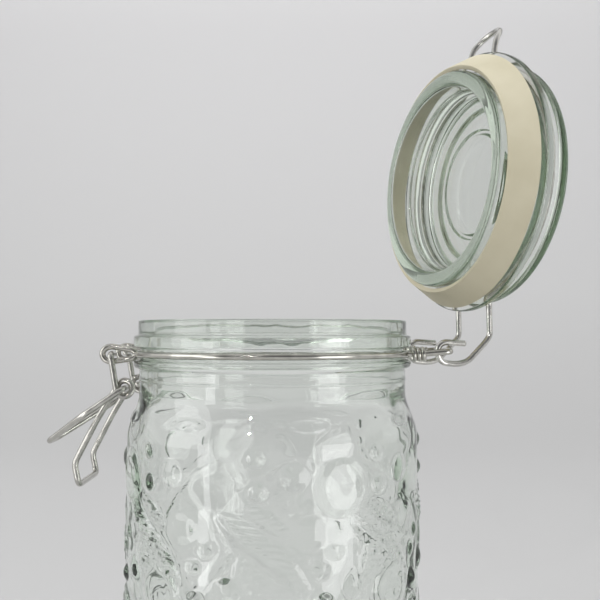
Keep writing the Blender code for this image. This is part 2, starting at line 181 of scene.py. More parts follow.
def wire_rings(path, radius, closed):
    """Rings of a round wire along a path.

    The tangent is the difference of the neighbours. A first normal is a fixed direction
    less its part along the tangent. From point to point it turns about the tangent by an
    angle w, found from the cross and dot products of neighbours, and turning each normal
    back by the running sum of w leaves the wire untwisted. A closed path keeps the first
    normals, so that its last ring meets its first. Ring point k is then
    p + radius (cos k u + sin k v), with u the normal and v = tangent x u.
    """
    if closed:
        tangent = np.roll(path, -1, axis=0) - np.roll(path, 1, axis=0)
    else:
        tangent = np.gradient(path, axis=0)
    tangent /= np.linalg.norm(tangent, axis=1, keepdims=True)
    fixed = np.array([0.31, 0.53, 0.79])
    normal = fixed - tangent * (tangent @ fixed)[:, None]
    normal /= np.linalg.norm(normal, axis=1, keepdims=True)
    u = normal
    if not closed:
        ahead = tangent[1:]
        carried = normal[:-1] - ahead * (normal[:-1] * ahead).sum(axis=1, keepdims=True)
        twist = np.arctan2((np.cross(carried, normal[1:]) * ahead).sum(axis=1),
                           (carried * normal[1:]).sum(axis=1))
        turn = -np.concatenate([[0], np.cumsum(twist)])[:, None]
        u = normal * np.cos(turn) + np.cross(tangent, normal) * np.sin(turn)
    v = np.cross(tangent, u)
    angle = np.linspace(0, math.tau, WIRE_SIDES, endpoint=False)[None, :, None]
    return path[:, None] + radius * (np.cos(angle) * u[:, None] + np.sin(angle) * v[:, None])


END_SHRINK = 0.72
END_PUSH = 0.35
WIRE_STEP = 0.4 * MM


def wire(path, radius, closed=False):
    """A closed skin of a wire whose cut ends are a little rounded.

    Past each end stands one more ring, shrunk about the end point and pushed on by a part
    of the radius: p + shrink (q - p) + push radius (tangent).
    """
    rings = wire_rings(path, radius, closed)
    if closed:
        return skin(rings, ends="loop")
    caps = []
    for end, inner in ((0, 1), (-1, -2)):
        step = path[end] - path[inner]
        push = step / np.linalg.norm(step) * radius * END_PUSH
        caps.append(path[end] + END_SHRINK * (rings[end] - path[end]) + push)
    return skin(np.vstack([caps[:1], rings, caps[1:]]))


straight = np.array([(0, 0, 0), (MM, 0, 0), (2 * MM, 0, 0)])
print("a short straight wire has", len(wire(straight, 0.5 * MM)[0]), "vertices")

# %% [markdown]
# ## Clear green glass
#
# The glass is clear, but where light runs a long way through it, along an edge or through
# a bump, it comes out bottle green. A tint on the surface can't do that, so the green is in
# the volume: absorption takes more red and blue than green for each metre that light
# travels. The surface is slightly wavy from the mould, which a faint bump gives.

# %% Glass material
def new_material(name):
    """An empty node material with its output and a Principled shader."""
    mat = bpy.data.materials.new(name)
    mat.use_nodes = True
    nodes = mat.node_tree.nodes
    return mat, nodes, mat.node_tree.links, nodes["Principled BSDF"], nodes["Material Output"]


def object_noise(nodes, links, scale, detail):
    """A noise texture on Object coordinates, so it stays on the piece as the piece turns."""
    coords = nodes.new("ShaderNodeTexCoord")
    noise = nodes.new("ShaderNodeTexNoise")
    noise.inputs["Scale"].default_value = scale
    noise.inputs["Detail"].default_value = detail
    links.new(coords.outputs["Object"], noise.inputs["Vector"])
    return noise


def faint_bump(nodes, links, shader, noise, strength, depth):
    """A Bump node that tilts the shader's normal by a noise's slope."""
    bump = nodes.new("ShaderNodeBump")
    bump.inputs["Strength"].default_value = strength
    bump.inputs["Distance"].default_value = depth
    links.new(noise.outputs["Fac"], bump.inputs["Height"])
    links.new(bump.outputs["Normal"], shader.inputs["Normal"])


def glass_material(name, green, density, wave_scale, wave_depth):
    """Clear glass: full transmission, a green volume and a faint mould wave."""
    mat, nodes, links, shader, output = new_material(name)
    shader.inputs["Base Color"].default_value = (1, 1, 1, 1)
    shader.inputs["Transmission Weight"].default_value = 1.0
    shader.inputs["Roughness"].default_value = 0.015
    shader.inputs["IOR"].default_value = 1.5
    wave = object_noise(nodes, links, wave_scale, 1.5)
    faint_bump(nodes, links, shader, wave, 0.5, wave_depth)
    absorb = nodes.new("ShaderNodeVolumeAbsorption")
    absorb.inputs["Color"].default_value = green
    absorb.inputs["Density"].default_value = density
    links.new(absorb.outputs["Volume"], output.inputs["Volume"])
    return mat


jar_glass = glass_material("jar_glass_clear", (0.48, 0.70, 0.47, 1), 21, 70, 0.3 * MM)
lid_glass = glass_material("lid_glass_clear", (0.48, 0.61, 0.45, 1), 34, 60, 0.2 * MM)
print("glass:", jar_glass.name, lid_glass.name)

# %% [markdown]
# ## The jar and its pressed pattern
#
# The outside is one profile turned round the axis: rim band, collar, the groove for the
# neck wire, a bead, the neck, a sloping shoulder and a straight body. The inside is
# smooth, because a plain plunger pressed it, while the mould outside carries the pattern.
# A bump could fake the relief on a matt jar, but glass bends light by its real shape. So
# the outer wall itself is raised, by a height worked out over angle and height.

# %% The jar's sizes
lid_joint, lever_joint, bail_joint = frame["joints"]
WIRE_BELOW_RIM = 11.9 * MM
JAR_H = lever_joint["pos_m"][2] + WIRE_BELOW_RIM
RIM_R = 49.1 * MM
MOUTH_R = 44.0 * MM
COLLAR_R = 50.7 * MM
GROOVE_R = 48.3 * MM
NECK_R = 48.6 * MM
BODY_R = 52.7 * MM
WALL = 3.6 * MM
FLOOR = 6.5 * MM
FLOOR_BEND = 9 * MM
WALL_LOW = 22 * MM
MIDDLE_R = 0.5 * MM
FOOT_IN = 35 * MM
FOOT_OUT = 44 * MM
RECESS = 0.8 * MM
SHOULDER_TOP = JAR_H - 25.5 * MM
SHOULDER_LOW = JAR_H - 41 * MM
RELIEF_LOW = 18 * MM


# %% The jar's outer and inner profile
def slope(start, end, count):
    """A smooth S from start to end: r follows 3 t^2 - 2 t^3 while z runs evenly."""
    t = np.linspace(0, 1, count)
    s = t * t * (3 - 2 * t)
    return np.stack([start[0] + s * (end[0] - start[0]),
                     start[1] + t * (end[1] - start[1])], axis=1)


# The collar from the neck up: radius, how far below the rim and how much each corner is cut
COLLAR = ((NECK_R, 21.4 * MM, 0.6 * MM), (NECK_R + 0.35 * MM, 21 * MM, 0.3 * MM),
          (NECK_R, 20.6 * MM, 0.3 * MM), (NECK_R, 17.3 * MM, 0.3 * MM),
          (COLLAR_R, 16.4 * MM, 1.2 * MM), (COLLAR_R, 14.2 * MM, 1.0 * MM),
          (GROOVE_R, 13.9 * MM, 0.8 * MM), (GROOVE_R, 9.9 * MM, 0.5 * MM),
          (COLLAR_R, 9.4 * MM, 0.5 * MM), (COLLAR_R, 5.4 * MM, 0.8 * MM),
          (RIM_R, 5.1 * MM, 1.0 * MM), (RIM_R, 0, 0.3 * MM), (MOUTH_R, 0, 1.2 * MM))
MOUTH_DEEP = 12 * MM
BODY_ROWS = 190


def jar_outside():
    """The outer profile from the base's recess up to the rim, with rounded corners."""
    base = rounded([(MIDDLE_R, 0), (FOOT_IN - MM, 0), (FOOT_IN, RECESS),
                    (FOOT_IN + 3 * MM, RECESS)], 0.4 * MM, 4)
    heel = rounded([(FOOT_IN, RECESS), (FOOT_OUT - 4 * MM, RECESS), (FOOT_OUT - 3 * MM, 0),
                    (FOOT_OUT, 0), (BODY_R, 0), (BODY_R, RELIEF_LOW)],
                   [0.4 * MM, 0.4 * MM, MM, 8 * MM], 10)
    body = np.stack([np.full(BODY_ROWS, BODY_R),
                     np.linspace(RELIEF_LOW, SHOULDER_LOW, BODY_ROWS)], axis=1)
    shoulder = slope((BODY_R, SHOULDER_LOW), (NECK_R, SHOULDER_TOP), 44)
    corners = [(radius, JAR_H - below) for radius, below, _ in COLLAR]
    collar = rounded([(NECK_R, SHOULDER_TOP), *corners, (MOUTH_R, JAR_H - MOUTH_DEEP)],
                     [cut for _, _, cut in COLLAR], 7)
    return np.vstack([base, heel[3:], body, shoulder[1:-1], collar])


def jar_inside():
    """The inner profile from the mouth down to the middle of the floor."""
    inner = BODY_R - WALL
    throat = slope((MOUTH_R, SHOULDER_TOP + 4 * MM), (inner, SHOULDER_LOW), 24)
    wall = np.stack([np.full(8, inner), np.linspace(SHOULDER_LOW, WALL_LOW, 8)], axis=1)
    floor = rounded([(inner, WALL_LOW), (inner, FLOOR), (MIDDLE_R, FLOOR - 0.4 * MM)],
                    FLOOR_BEND, 14)
    return np.vstack([throat, wall[1:-1], floor])


print("outer profile:", len(jar_outside()), "points, inner:", len(jar_inside()), "points")

# %% [markdown]
# The pattern is fruits with leaves, in rows round the jar. It could be sculpted by hand or
# taken from a painted height image, but formulas stay sharp at any size and repeat exactly.
# Each motif is a height over the distance from its middle. A ripe fruit is a low disc with
# a soft rim, a leaf is a long lens with a midrib and side veins, and a berry is a small
# dome. Where two meet, the higher one wins, as it does in a cut mould. Every second group
# has a soft round dome where its fruit would be. Oval cushions stand in a row on the
# shoulder.

# %% The pressed pattern as a height over angle and height
STEP_DEG = 45
FRUIT_DEG = -64
FRUIT_Z = JAR_H - 52.3 * MM
ROW_DROP = 34 * MM
RELIEF_TOP = JAR_H - 29 * MM
EDGE_FADE = 4 * MM
FRUIT_R = 9.6 * MM
FRUIT_HIGH = 0.8 * MM
FRUIT_RING = 0.2 * MM
MIDRIB_HALF = 0.6 * MM
MIDRIB_DEEP = 0.45 * MM
VEIN_DEEP = 0.2 * MM
CUSHION_BACK_DEG = 11.5
CUSHION_Z = JAR_H - 33.4 * MM
CUSHION_LONG = 6.6 * MM
CUSHION_TALL = 2.1 * MM
CUSHION_HIGH = 0.8 * MM
CUSHION_SUNK = 0.45 * MM


def over_motif(angle, z, turn_deg, place_z, tilt_deg=0):
    """Coordinates (along, side) over the wall from a motif's middle, turned by its tilt."""
    across = ((angle - math.radians(turn_deg) + math.pi) % math.tau - math.pi) * BODY_R
    up = z - place_z
    tilt = math.radians(tilt_deg)
    along = across * math.cos(tilt) + up * math.sin(tilt)
    return along, up * math.cos(tilt) - across * math.sin(tilt)


def dome(distance, power):
    """A rounded bump: (1 - d^2)^power inside d = 1, and 0 outside."""
    return np.clip(1 - distance ** 2, 0, 1) ** power


def fruit(angle, z, turn_deg, place_z):
    """A disc of height (1 - d^4)^1.2 with a soft ring of exp(-((d - 0.7) / 0.15)^2)."""
    along, side = over_motif(angle, z, turn_deg, place_z)
    distance = np.hypot(along, side) / FRUIT_R
    disc = FRUIT_HIGH * np.clip(1 - distance ** 4, 0, 1) ** 1.2
    return disc + FRUIT_RING * np.exp(-((distance - 0.7) / 0.15) ** 2) * (distance < 1)


def berry(angle, z, turn_deg, place_z, radius, high):
    """One small dome of a radius and height: high (1 - d^2)^1.2."""
    along, side = over_motif(angle, z, turn_deg, place_z)
    return high * dome(np.hypot(along, side) / radius, 1.2)


def leaf(angle, z, turn_deg, place_z, tilt_deg, half_long, half_wide, vein_gap, high):
    """A lens of height (1 - |a|^1.8 - |s|^1.3)^0.7, less a midrib and slanting side veins."""
    along, side = over_motif(angle, z, turn_deg, place_z, tilt_deg)
    reach = np.abs(along / half_long) ** 1.8 + np.abs(side / half_wide) ** 1.3
    blade = high * np.clip(1 - reach, 0, 1) ** 0.7
    midrib = MIDRIB_DEEP * np.exp(-(side / MIDRIB_HALF) ** 2)
    veins = VEIN_DEEP * (1 + np.cos((along - 1.6 * np.abs(side)) * math.tau / vein_gap))
    return np.maximum(blade - (midrib + veins) * np.clip((1 - reach) * 4, 0, 1), 0)


def cushion(angle, z, turn_deg, place_z):
    """An oval cushion with a sunk middle: the dome of d less a smaller dome of 1.5 d."""
    along, side = over_motif(angle, z, turn_deg, place_z)
    distance = np.hypot(along / CUSHION_LONG, side / CUSHION_TALL)
    return CUSHION_HIGH * dome(distance, 0.9) - CUSHION_SUNK * dome(1.5 * distance, 1)


# Berries of a group: turn from the fruit in degrees, then rise, radius and height in mm
BERRIES = ((-17, 3.6, 4.6, 1.2), (-2.5, -19.3, 2.7, 0.8), (15, 9.5, 3.0, 1.0),
           (16, -0.5, 3.2, 1.3), (19, -8.5, 2.4, 1.0), (-12, -13.5, 5.5, 0.5))
SOFT_DOME = (0, 0, 7.5, 0.45)
# Leaves and a stem: turn and tilt in degrees, rise, half length, half width, vein gap, height
LEAVES = ((-32.5, -40, -15.2, 14, 4.6, 3.4, 1.3), (-26, -34, -9.5, 9, 2.8, 3.0, 1.2),
          (-31.5, -42, -25.2, 9, 3.0, 3.2, 0.9), (12, 62, -22.5, 11.5, 4.6, 2.2, 0.9),
          (-19, -52, -24, 12, 3.6, 2.8, 1.1), (-13, -20, 9.6, 4.2, 0.9, 9, 0.6))


def motifs(angle, z, turn, place, ripe):
    """The heights of one group about its middle: ripe with a fruit, else with a soft dome."""
    domes = BERRIES if ripe else BERRIES + (SOFT_DOME,)
    heights = [fruit(angle, z, turn, place)] if ripe else []
    for by, rise, radius, high in domes:
        heights.append(berry(angle, z, turn + by, place + rise * MM, radius * MM, high * MM))
    for by, tilt, rise, *sizes in LEAVES:
        heights.append(leaf(angle, z, turn + by, place + rise * MM, tilt,
                            *[size * MM for size in sizes]))
    return heights


def pattern(angle, z):
    """The height of the whole pattern: rows of groups, the higher of any two that meet.

    Near the top and bottom edge it is scaled by the way left to the edge over EDGE_FADE.
    """
    height = np.zeros(np.broadcast(angle, z).shape)
    for index in range(360 // STEP_DEG):
        turn = FRUIT_DEG + index * STEP_DEG
        height = np.maximum(height, cushion(angle, z, turn - CUSHION_BACK_DEG, CUSHION_Z))
        for row in range(3):
            shift = 0.5 * STEP_DEG * (row % 2)
            place = FRUIT_Z - row * ROW_DROP
            for motif in motifs(angle, z, turn + shift, place, ripe=index % 2 == 0):
                height = np.maximum(height, motif)
    edge = np.minimum(RELIEF_TOP - z, z - RELIEF_LOW) / EDGE_FADE
    return height * np.clip(edge, 0, 1)


print("a group has", len(BERRIES), "berries and", len(LEAVES), "leaves with its stem")


# %% Building the jar's skin
AROUND = 360
PROFILE_STEP = 1.5 * MM
WAVE_DEPTH = 0.22 * MM
WAVE_TOP = JAR_H - 24 * MM
WAVE_FADE = 10 * MM
outside = turned(jar_outside(), AROUND)
angle_grid = np.arctan2(outside[..., 1], outside[..., 0])
radius_grid = np.hypot(outside[..., 0], outside[..., 1])
on_body = (outside[..., 2] > RELIEF_LOW) & (outside[..., 2] < RELIEF_TOP)
raised = np.where(on_body, pattern(angle_grid, outside[..., 2]), 0)
outside[..., :2] *= (1 + raised / radius_grid)[..., None]

# The inside is a little wavy: four waves over angle and height, fading out at the mouth
inside = turned(finer(jar_inside(), PROFILE_STEP), AROUND)
turn_grid = np.arctan2(inside[..., 1], inside[..., 0])
height_grid = inside[..., 2] / MM
wave = (np.sin(5 * turn_grid + height_grid / 9) + np.sin(8 * turn_grid - height_grid / 6 + 1)
        + 0.7 * np.sin(13 * turn_grid + height_grid / 4 + 2)
        + 0.4 * np.sin(19 * turn_grid - height_grid / 3) * np.sin(height_grid / 2.6))
depth = WAVE_DEPTH * np.clip((WAVE_TOP - inside[..., 2]) / WAVE_FADE, 0, 1)
inside[..., :2] *= (1 - wave * depth / BODY_R)[..., None]
jar_rings = np.vstack([outside, inside])
jar_shell = make_piece("jar_shell", [skin(jar_rings)], "jar", "jar_body", jar_glass)
# Clear glass throws hardly any shade, so it is left out of the shadows
jar_shell.visible_shadow = False
print("relief up to", round(float(raised.max()) / MM, 2), "mm")

# %% [markdown]
# ## Galvanised wire
#
# All the metal is one kind of wire: dull galvanised steel, drawn and bent by machine.
# Drawing leaves fine marks on it, and the zinc makes its colour and shine uneven. A plain
# grey metal would look like chrome. So one cloudy noise varies both colour and roughness,
# and a finer one gives the marks as a faint bump.

# %% Wire material
def colour_ramp(nodes, *stops):
    """A ColorRamp node through stops of (place, colour), in rising order of place."""
    ramp = nodes.new("ShaderNodeValToRGB")
    elements = ramp.color_ramp.elements
    elements[0].position, elements[1].position = stops[0][0], stops[-1][0]
    for place, _ in stops[1:-1]:
        elements.new(place)
    for element, (_, colour) in zip(elements, stops):
        element.color = (*colour, 1)
    return ramp


def wire_material(name, colour, rough):
    """Dull steel: a base grey with darker cloudy patches and fine marks as a bump."""
    mat, nodes, links, shader, _ = new_material(name)
    shader.inputs["Metallic"].default_value = 1.0
    cloud = object_noise(nodes, links, 260, 3)
    ramp = colour_ramp(nodes, (0.3, [0.72 * part for part in colour]), (0.7, colour))
    links.new(cloud.outputs["Fac"], ramp.inputs["Fac"])
    links.new(ramp.outputs["Color"], shader.inputs["Base Color"])
    spread = nodes.new("ShaderNodeMapRange")
    spread.inputs["To Min"].default_value = rough - 0.06
    spread.inputs["To Max"].default_value = rough + 0.10
    links.new(cloud.outputs["Fac"], spread.inputs["Value"])
    links.new(spread.outputs["Result"], shader.inputs["Roughness"])
    faint_bump(nodes, links, shader, object_noise(nodes, links, 1400, 2), 0.25, 0.05 * MM)
    return mat


WIRE_R = 1.1 * MM
neck_steel = wire_material("neck_wire_zinc", (0.62, 0.61, 0.56), 0.18)
clamp_steel = wire_material("clamp_wire_zinc", (0.62, 0.61, 0.57), 0.20)
lid_steel = wire_material("lid_wire_zinc", (0.72, 0.71, 0.67), 0.17)
print("wire of", 2 * WIRE_R / MM, "mm")

# %% [markdown]
# ## The neck wire
#
# A ring of wire lies in the groove below the rim. At the clamp side two long eyes stand out
# from it and carry the lever, and at the hinge side a bracket of the same wire stands out
# with a straight bar. Thinner wire is wrapped round the bracket's feet. A curve object
# with a round bevel could make all this, but here each path is an array of points, so its
# bends are measured from the same sizes as the glass.

# %% Ring, eyes, bracket and wraps
WIRE_GAP = 0.3 * MM
NECK_WIRE_Z = JAR_H - WIRE_BELOW_RIM
NECK_WIRE_R = GROOVE_R + WIRE_GAP + WIRE_R
EYE_X = lever_joint["pos_m"][0]
EYE_Y = 12.3 * MM
BAR_X = 63.4 * MM
BAR_Z = JAR_H - 10.9 * MM
BAR_HALF = 14.4 * MM
EYE_LONG = 3.4 * MM
EYE_HIGH = 2.7 * MM
EYE_PINCH = 1.485 * MM
WRAP_R = 0.8 * MM
WRAP_TURNS = 3.2
WRAP_START = 49.4 * MM
WRAP_LONG = 5.2 * MM


def level_ring(radius, z, count):
    """Points of a level circle: (r cos a, r sin a, z)."""
    angle = np.linspace(0, math.tau, count, endpoint=False)
    return np.stack([radius * np.cos(angle), radius * np.sin(angle), np.full(count, z)], axis=1)


def eye_path(side):
    """A long eye in an upright plane: a half circle outside, drawn in to the ring inside."""
    inner = -math.sqrt(NECK_WIRE_R ** 2 - EYE_Y ** 2)
    turn = np.radians(np.linspace(90, 270, 15))
    outer = np.stack([EYE_X + EYE_LONG * np.cos(turn), np.full(15, side * EYE_Y),
                      NECK_WIRE_Z + EYE_HIGH * np.sin(turn)], axis=1)
    inside = [(inner - 1.2 * MM, side * EYE_Y, NECK_WIRE_Z - EYE_PINCH),
              (inner, side * EYE_Y, NECK_WIRE_Z),
              (inner - 1.2 * MM, side * EYE_Y, NECK_WIRE_Z + EYE_PINCH)]
    closed = np.vstack([outer, inside, outer[:1]])
    return evenly(rounded(closed, 0.8 * MM, 4), WIRE_STEP)[:-1]


def bracket_path():
    """Out from the ring, along the bar and back to the ring."""
    inner = math.sqrt(NECK_WIRE_R ** 2 - BAR_HALF ** 2)
    near = [(inner, -BAR_HALF, NECK_WIRE_Z), (inner + 5 * MM, -BAR_HALF, NECK_WIRE_Z),
            (BAR_X, -BAR_HALF, BAR_Z)]
    far = [(x, -y, z) for x, y, z in reversed(near)]
    return evenly(rounded(near + far, 2.0 * MM, 10), WIRE_STEP)


def wrap_path(side):
    """Turns of thin wire round a bracket arm's foot, as a helix.

    It runs along x, and its y and z go round the arm by (out cos a, out sin a).
    """
    t = np.linspace(0, 1, 90)
    turn = math.tau * WRAP_TURNS * t
    out = WIRE_R + WRAP_R + 0.05 * MM
    return np.stack([WRAP_START + WRAP_LONG * t, side * BAR_HALF + out * np.cos(turn),
                     NECK_WIRE_Z + out * np.sin(turn)], axis=1)


neck_skins = [wire(level_ring(NECK_WIRE_R, NECK_WIRE_Z, 240), WIRE_R, closed=True),
              wire(bracket_path(), WIRE_R)]
for side in (-1, 1):
    neck_skins += [wire(eye_path(side), WIRE_R, closed=True), wire(wrap_path(side), WRAP_R)]
make_piece("neck_wire_run", neck_skins, "jar", "neck_wire", neck_steel)

# %% [markdown]
# ## The open lid
#
# Everything on the lid is made in the lid's own frame, with its axis on z and the lip's
# rim near z = 0, and then set where the lid stands. The frame says how the lid turns: about
# one slanting hinge line. Turning the shut lid back about it gives its open place, which is
# safer than placing the open lid by eye, because it then shuts where it should.

# %% The lid's place
SHUT_Z = JAR_H - 9.0 * MM
# From fully shut to the open place. The joint's own range stops a hair short of fully shut
OPEN_DEG = 94.6653
hinge_point = Vector(lid_joint["pos_m"])
hinge_axis = Vector(lid_joint["axis"]).normalized()
turn_open = Matrix.Rotation(-math.radians(OPEN_DEG), 4, hinge_axis)
lid_place = Matrix.Translation(hinge_point) @ turn_open @ Matrix.Translation(-hinge_point)
lid_place = np.array(lid_place @ Matrix.Translation((0, 0, SHUT_Z)))


def on_lid(points):
    """Points from the lid's own frame to the jar's frame: p' = R p + t."""
    return points @ lid_place[:3, :3].T + lid_place[:3, 3]

# %% [markdown]
# The glass lid has a lip that goes into the mouth, a flange that presses on the rubber
# ring, a groove for its wire, and a thick outer disc. Inside the lip the wall steps down
# to a flat panel with a raised round ring. Its edges show bright and dark lines, so each
# corner of the section has a rounding of its own, which one bevel for all would not give.

# %% The glass lid
LID_GROOVE_R = 42.4
FLANGE_Z = 10.7
LID_AROUND = 288
LID_TOP = (0.5, 21.1)
LID_PANEL = (0.5, 14.4)
# The section's corners: radius, height and how much the corner is cut, in mm
LID_CORNERS = ((28, 21.1, 2), (31, 22.3, 1.2), (45.3, 22.3, 1.8), (45.3, 18.6, 1.8),
               (LID_GROOVE_R, 18.3, 0.8), (LID_GROOVE_R, 13.8, 0.8), (48.7, 13.4, 0.9),
               (48.7, 10.8, 0.7), (40.2, FLANGE_Z, 0.4), (40.2, -2.2, 2.2), (34.6, -2.2, 2.2),
               (34.4, 5.6, 0.5), (33.7, 6.4, 0.5), (33.4, 13.2, 1.6), (31.6, 15.0, 1.2),
               (21.2, 15.0, 0.3), (20.6, 15.9, 0.2), (19.7, 15.9, 0.2), (18.9, 14.4, 0.4))


def lid_profile():
    """The lid's section from the middle of its top round to the middle of its inside."""
    corners = np.array(LID_CORNERS)
    points = np.vstack([LID_TOP, corners[:, :2], LID_PANEL])
    return rounded(points * MM, corners[:, 2] * MM, 9)


lid_rings = on_lid(turned(finer(lid_profile(), PROFILE_STEP), LID_AROUND))
lid_shell = make_piece("lid_shell", [skin(lid_rings)], "lid", "lid_glass", lid_glass)
lid_shell.visible_shadow = False

# %% [markdown]
# ## The rubber ring
#
# The ring is a flat strip stretched over the lip, so it stands flared like a cone while
# the lid is open. Rubber never lies quite even: its free edge waves a little. When the
# lid shuts, the ring is pressed flat; here it is made only as it stands open. Its skin is
# matt, so a colour that varies a little and a fine grain do more for it than any shine.

# %% Rubber material
def rubber_material():
    """Cream rubber: soft mottling, fine speckle, and a low sheen from its rough skin."""
    mat, nodes, links, shader, _ = new_material("seal_cream_rubber")
    shader.inputs["Roughness"].default_value = 0.62
    shader.inputs["Specular IOR Level"].default_value = 0.35
    mottle = object_noise(nodes, links, 70, 4)
    ramp = colour_ramp(nodes, (0.25, (0.49, 0.45, 0.325)), (0.8, (0.575, 0.535, 0.405)))
    links.new(mottle.outputs["Fac"], ramp.inputs["Fac"])
    links.new(ramp.outputs["Color"], shader.inputs["Base Color"])
    faint_bump(nodes, links, shader, object_noise(nodes, links, 1800, 2), 0.3, 0.06 * MM)
    return mat


seal_rubber = rubber_material()
print("rubber:", seal_rubber.name)

# %% The flared ring
SEAL_INNER = np.array((41.4, 0.2)) * MM
SEAL_OUTER = np.array((46.75, 9.3)) * MM
SEAL_THICK = 1.8 * MM
SEAL_CORNER = 0.35 * MM
SEAL_WAVE = 0.22 * MM
SEAL_WAVE_TOP = 0.1 * MM
seal_along = (SEAL_OUTER - SEAL_INNER) / np.linalg.norm(SEAL_OUTER - SEAL_INNER)
seal_across = np.array((-seal_along[1], seal_along[0])) * SEAL_THICK / 2
corners = np.array([SEAL_INNER - seal_across, SEAL_OUTER - seal_across,
                    SEAL_OUTER + seal_across, SEAL_INNER + seal_across])
looped = np.vstack([corners[3:], corners, corners[:1]])
section = finer(rounded(looped, SEAL_CORNER, 5)[1:-1], 0.8 * MM)
seal_rings = turned(section, LID_AROUND)

# Two waves round the ring: none at the lip, most at the free edge, their crests cut off
seal_turn = np.arctan2(seal_rings[..., 1], seal_rings[..., 0])
seal_free = np.clip(seal_rings[..., 2] / (9 * MM), 0, 1)
seal_wave = SEAL_WAVE * seal_free * (np.sin(3 * seal_turn + 0.6) + 0.6 * np.sin(7 * seal_turn))
seal_rings[..., 2] += np.minimum(seal_wave, SEAL_WAVE_TOP)
seal = make_piece("seal_ring", [skin(on_lid(seal_rings), ends="loop")], "lid", "gasket",
                  seal_rubber)
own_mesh(seal)

# %% [markdown]
# ## The lid's wire
#
# One wire does it all. It starts as a long hook round the hinge bar, rises as a leg, runs
# half way round the lid in its groove, stands out as a pointed nose at the front, and comes
# back the same way on the other side. So it is one path: half of it is laid out in points,
# in millimetres in the lid's own frame, and the other half is its mirror image.

# %% Hook, leg, half ring and nose
LID_WIRE_Z = 16.1
LID_WIRE_R = LID_GROOVE_R + (WIRE_GAP + WIRE_R) / MM
NOSE_HALF = 9.6
NOSE = ((-44.8, 9.4, 16.3), (-50.0, 8.2, 16.4), (-55.2, 7.9, 17.5), (-58.9, 6.3, 20.1),
        (-61.0, 3.0, 21.9), (-61.4, 0, 22.2))
LEG_HALF = 10.3
HOOK = ((60.9, 6.2), (60.8, -2.4), (62.2, -4.6), (65.8, -4.8), (68.2, -2.6), (68.5, 3.4),
        (67.4, 7.8), (60.2, 15.0), (57.5, LID_WIRE_Z + 0.9))


def lid_wire_path():
    """Hook, leg, half ring and nose on one side, then the same mirrored in y."""
    leg_turn = math.asin(LEG_HALF / LID_WIRE_R)
    nose_turn = math.pi - math.asin(NOSE_HALF / LID_WIRE_R)
    leg = [(x, LEG_HALF, z) for x, z in HOOK]
    leg.append((LID_WIRE_R * math.cos(leg_turn) + 2, LEG_HALF, LID_WIRE_Z))
    turn = np.linspace(leg_turn + 0.05, nose_turn - 0.05, 60)
    ring = np.stack([LID_WIRE_R * np.cos(turn), LID_WIRE_R * np.sin(turn),
                     np.full(60, LID_WIRE_Z)], axis=1)
    half = np.vstack([leg, ring, NOSE])
    path = np.vstack([half, half[-2::-1] * (1, -1, 1)])
    return evenly(rounded(path, 2.2, 8) * MM, WIRE_STEP)


make_piece("lid_wire_run", [wire(on_lid(lid_wire_path()), WIRE_R)], "lid", "lid_wire",
           lid_steel)

# %% [markdown]
# ## The lever and the bail
#
# The lever is one wire: hooked ends in the eyes, short links, a coil at each side,
# and arms bent near their end, where a short bar joins them. The bail is a second wire
# whose ends turn in those coils. It goes over the lid's nose, and pressing the lever down
# pulls it tight. A coil drawn by hand would be uneven, so it is a helix from a formula,
# and the straight runs join it at its own first and last point.

# %% The lever
COIL_X, _, COIL_Z = bail_joint["pos_m"]
COIL_R = 2.75 * MM
COIL_FROM_DEG = 176
COIL_TO_DEG = 510
COIL_STEP = 2 * WIRE_R + WIRE_GAP
LINK_Y = EYE_Y + COIL_STEP
ARM_Y = LINK_Y - COIL_STEP
# The arm's bends below the coil: x and how far below the rim, in mm
ARM_BENDS = ((-62.0, 35.2), (-69.8, 50.6), (-68.2, 58.0))


def lever_path():
    """Hook, link, coil and arm down to the end bar, then the same mirrored in y.

    The coil is a helix: (x + r cos a, y - step t, z + r sin a) for t from 0 to 1.
    """
    t = np.linspace(0, 1, 48)
    turn = np.radians(COIL_FROM_DEG + t * (COIL_TO_DEG - COIL_FROM_DEG))
    helix = np.stack([COIL_X + COIL_R * np.cos(turn), LINK_Y - t * COIL_STEP,
                      COIL_Z + COIL_R * np.sin(turn)], axis=1)
    start = rounded([(EYE_X, EYE_Y - 3.2 * MM, NECK_WIRE_Z), (EYE_X, LINK_Y, NECK_WIRE_Z),
                     helix[0]], 1.6 * MM, 8)[:-1]
    low = [(x * MM, ARM_Y, JAR_H - below * MM) for x, below in ARM_BENDS]
    bar_middle = (low[-1][0], 0, low[-1][2])
    arm = rounded([helix[-1], *low, bar_middle], np.array([3.0, 2.0, 2.6]) * MM, 11)[1:]
    half = np.vstack([start, helix, arm])
    return evenly(np.vstack([half, half[-2::-1] * (1, -1, 1)]), WIRE_STEP)


make_piece("lever_wire", [wire(lever_path(), WIRE_R)], "lever", "lever", clamp_steel)


# %% The bail
BAIL_DOWN = np.array((-28.8, 0, -19.4)) / math.hypot(28.8, 19.4)
# Along the bail from its pivot, and half its width there
BAIL_NECK = (16.8 * MM, 17.0 * MM)
BAIL_END = (35.2 * MM, 5.0 * MM)
BAIL_TAIL = 2.6 * MM


def bail_path():
    """Ends through the coils, arms, and a narrow blunt end, mirrored in y."""
    pivot = np.array((COIL_X, 0, COIL_Z))
    neck, end = (pivot + BAIL_DOWN * along + (0, half, 0)
                 for along, half in (BAIL_NECK, BAIL_END))
    outer = pivot + (0, LINK_Y + COIL_STEP, 0)
    near = np.array([pivot + (0, ARM_Y - BAIL_TAIL, 0), outer, neck, end])
    return evenly(rounded(np.vstack([near, near[::-1] * (1, -1, 1)]), 2.2 * MM, 10), WIRE_STEP)


make_piece("bail_wire", [wire(bail_path(), WIRE_R)], "bail", "bail", clamp_steel)
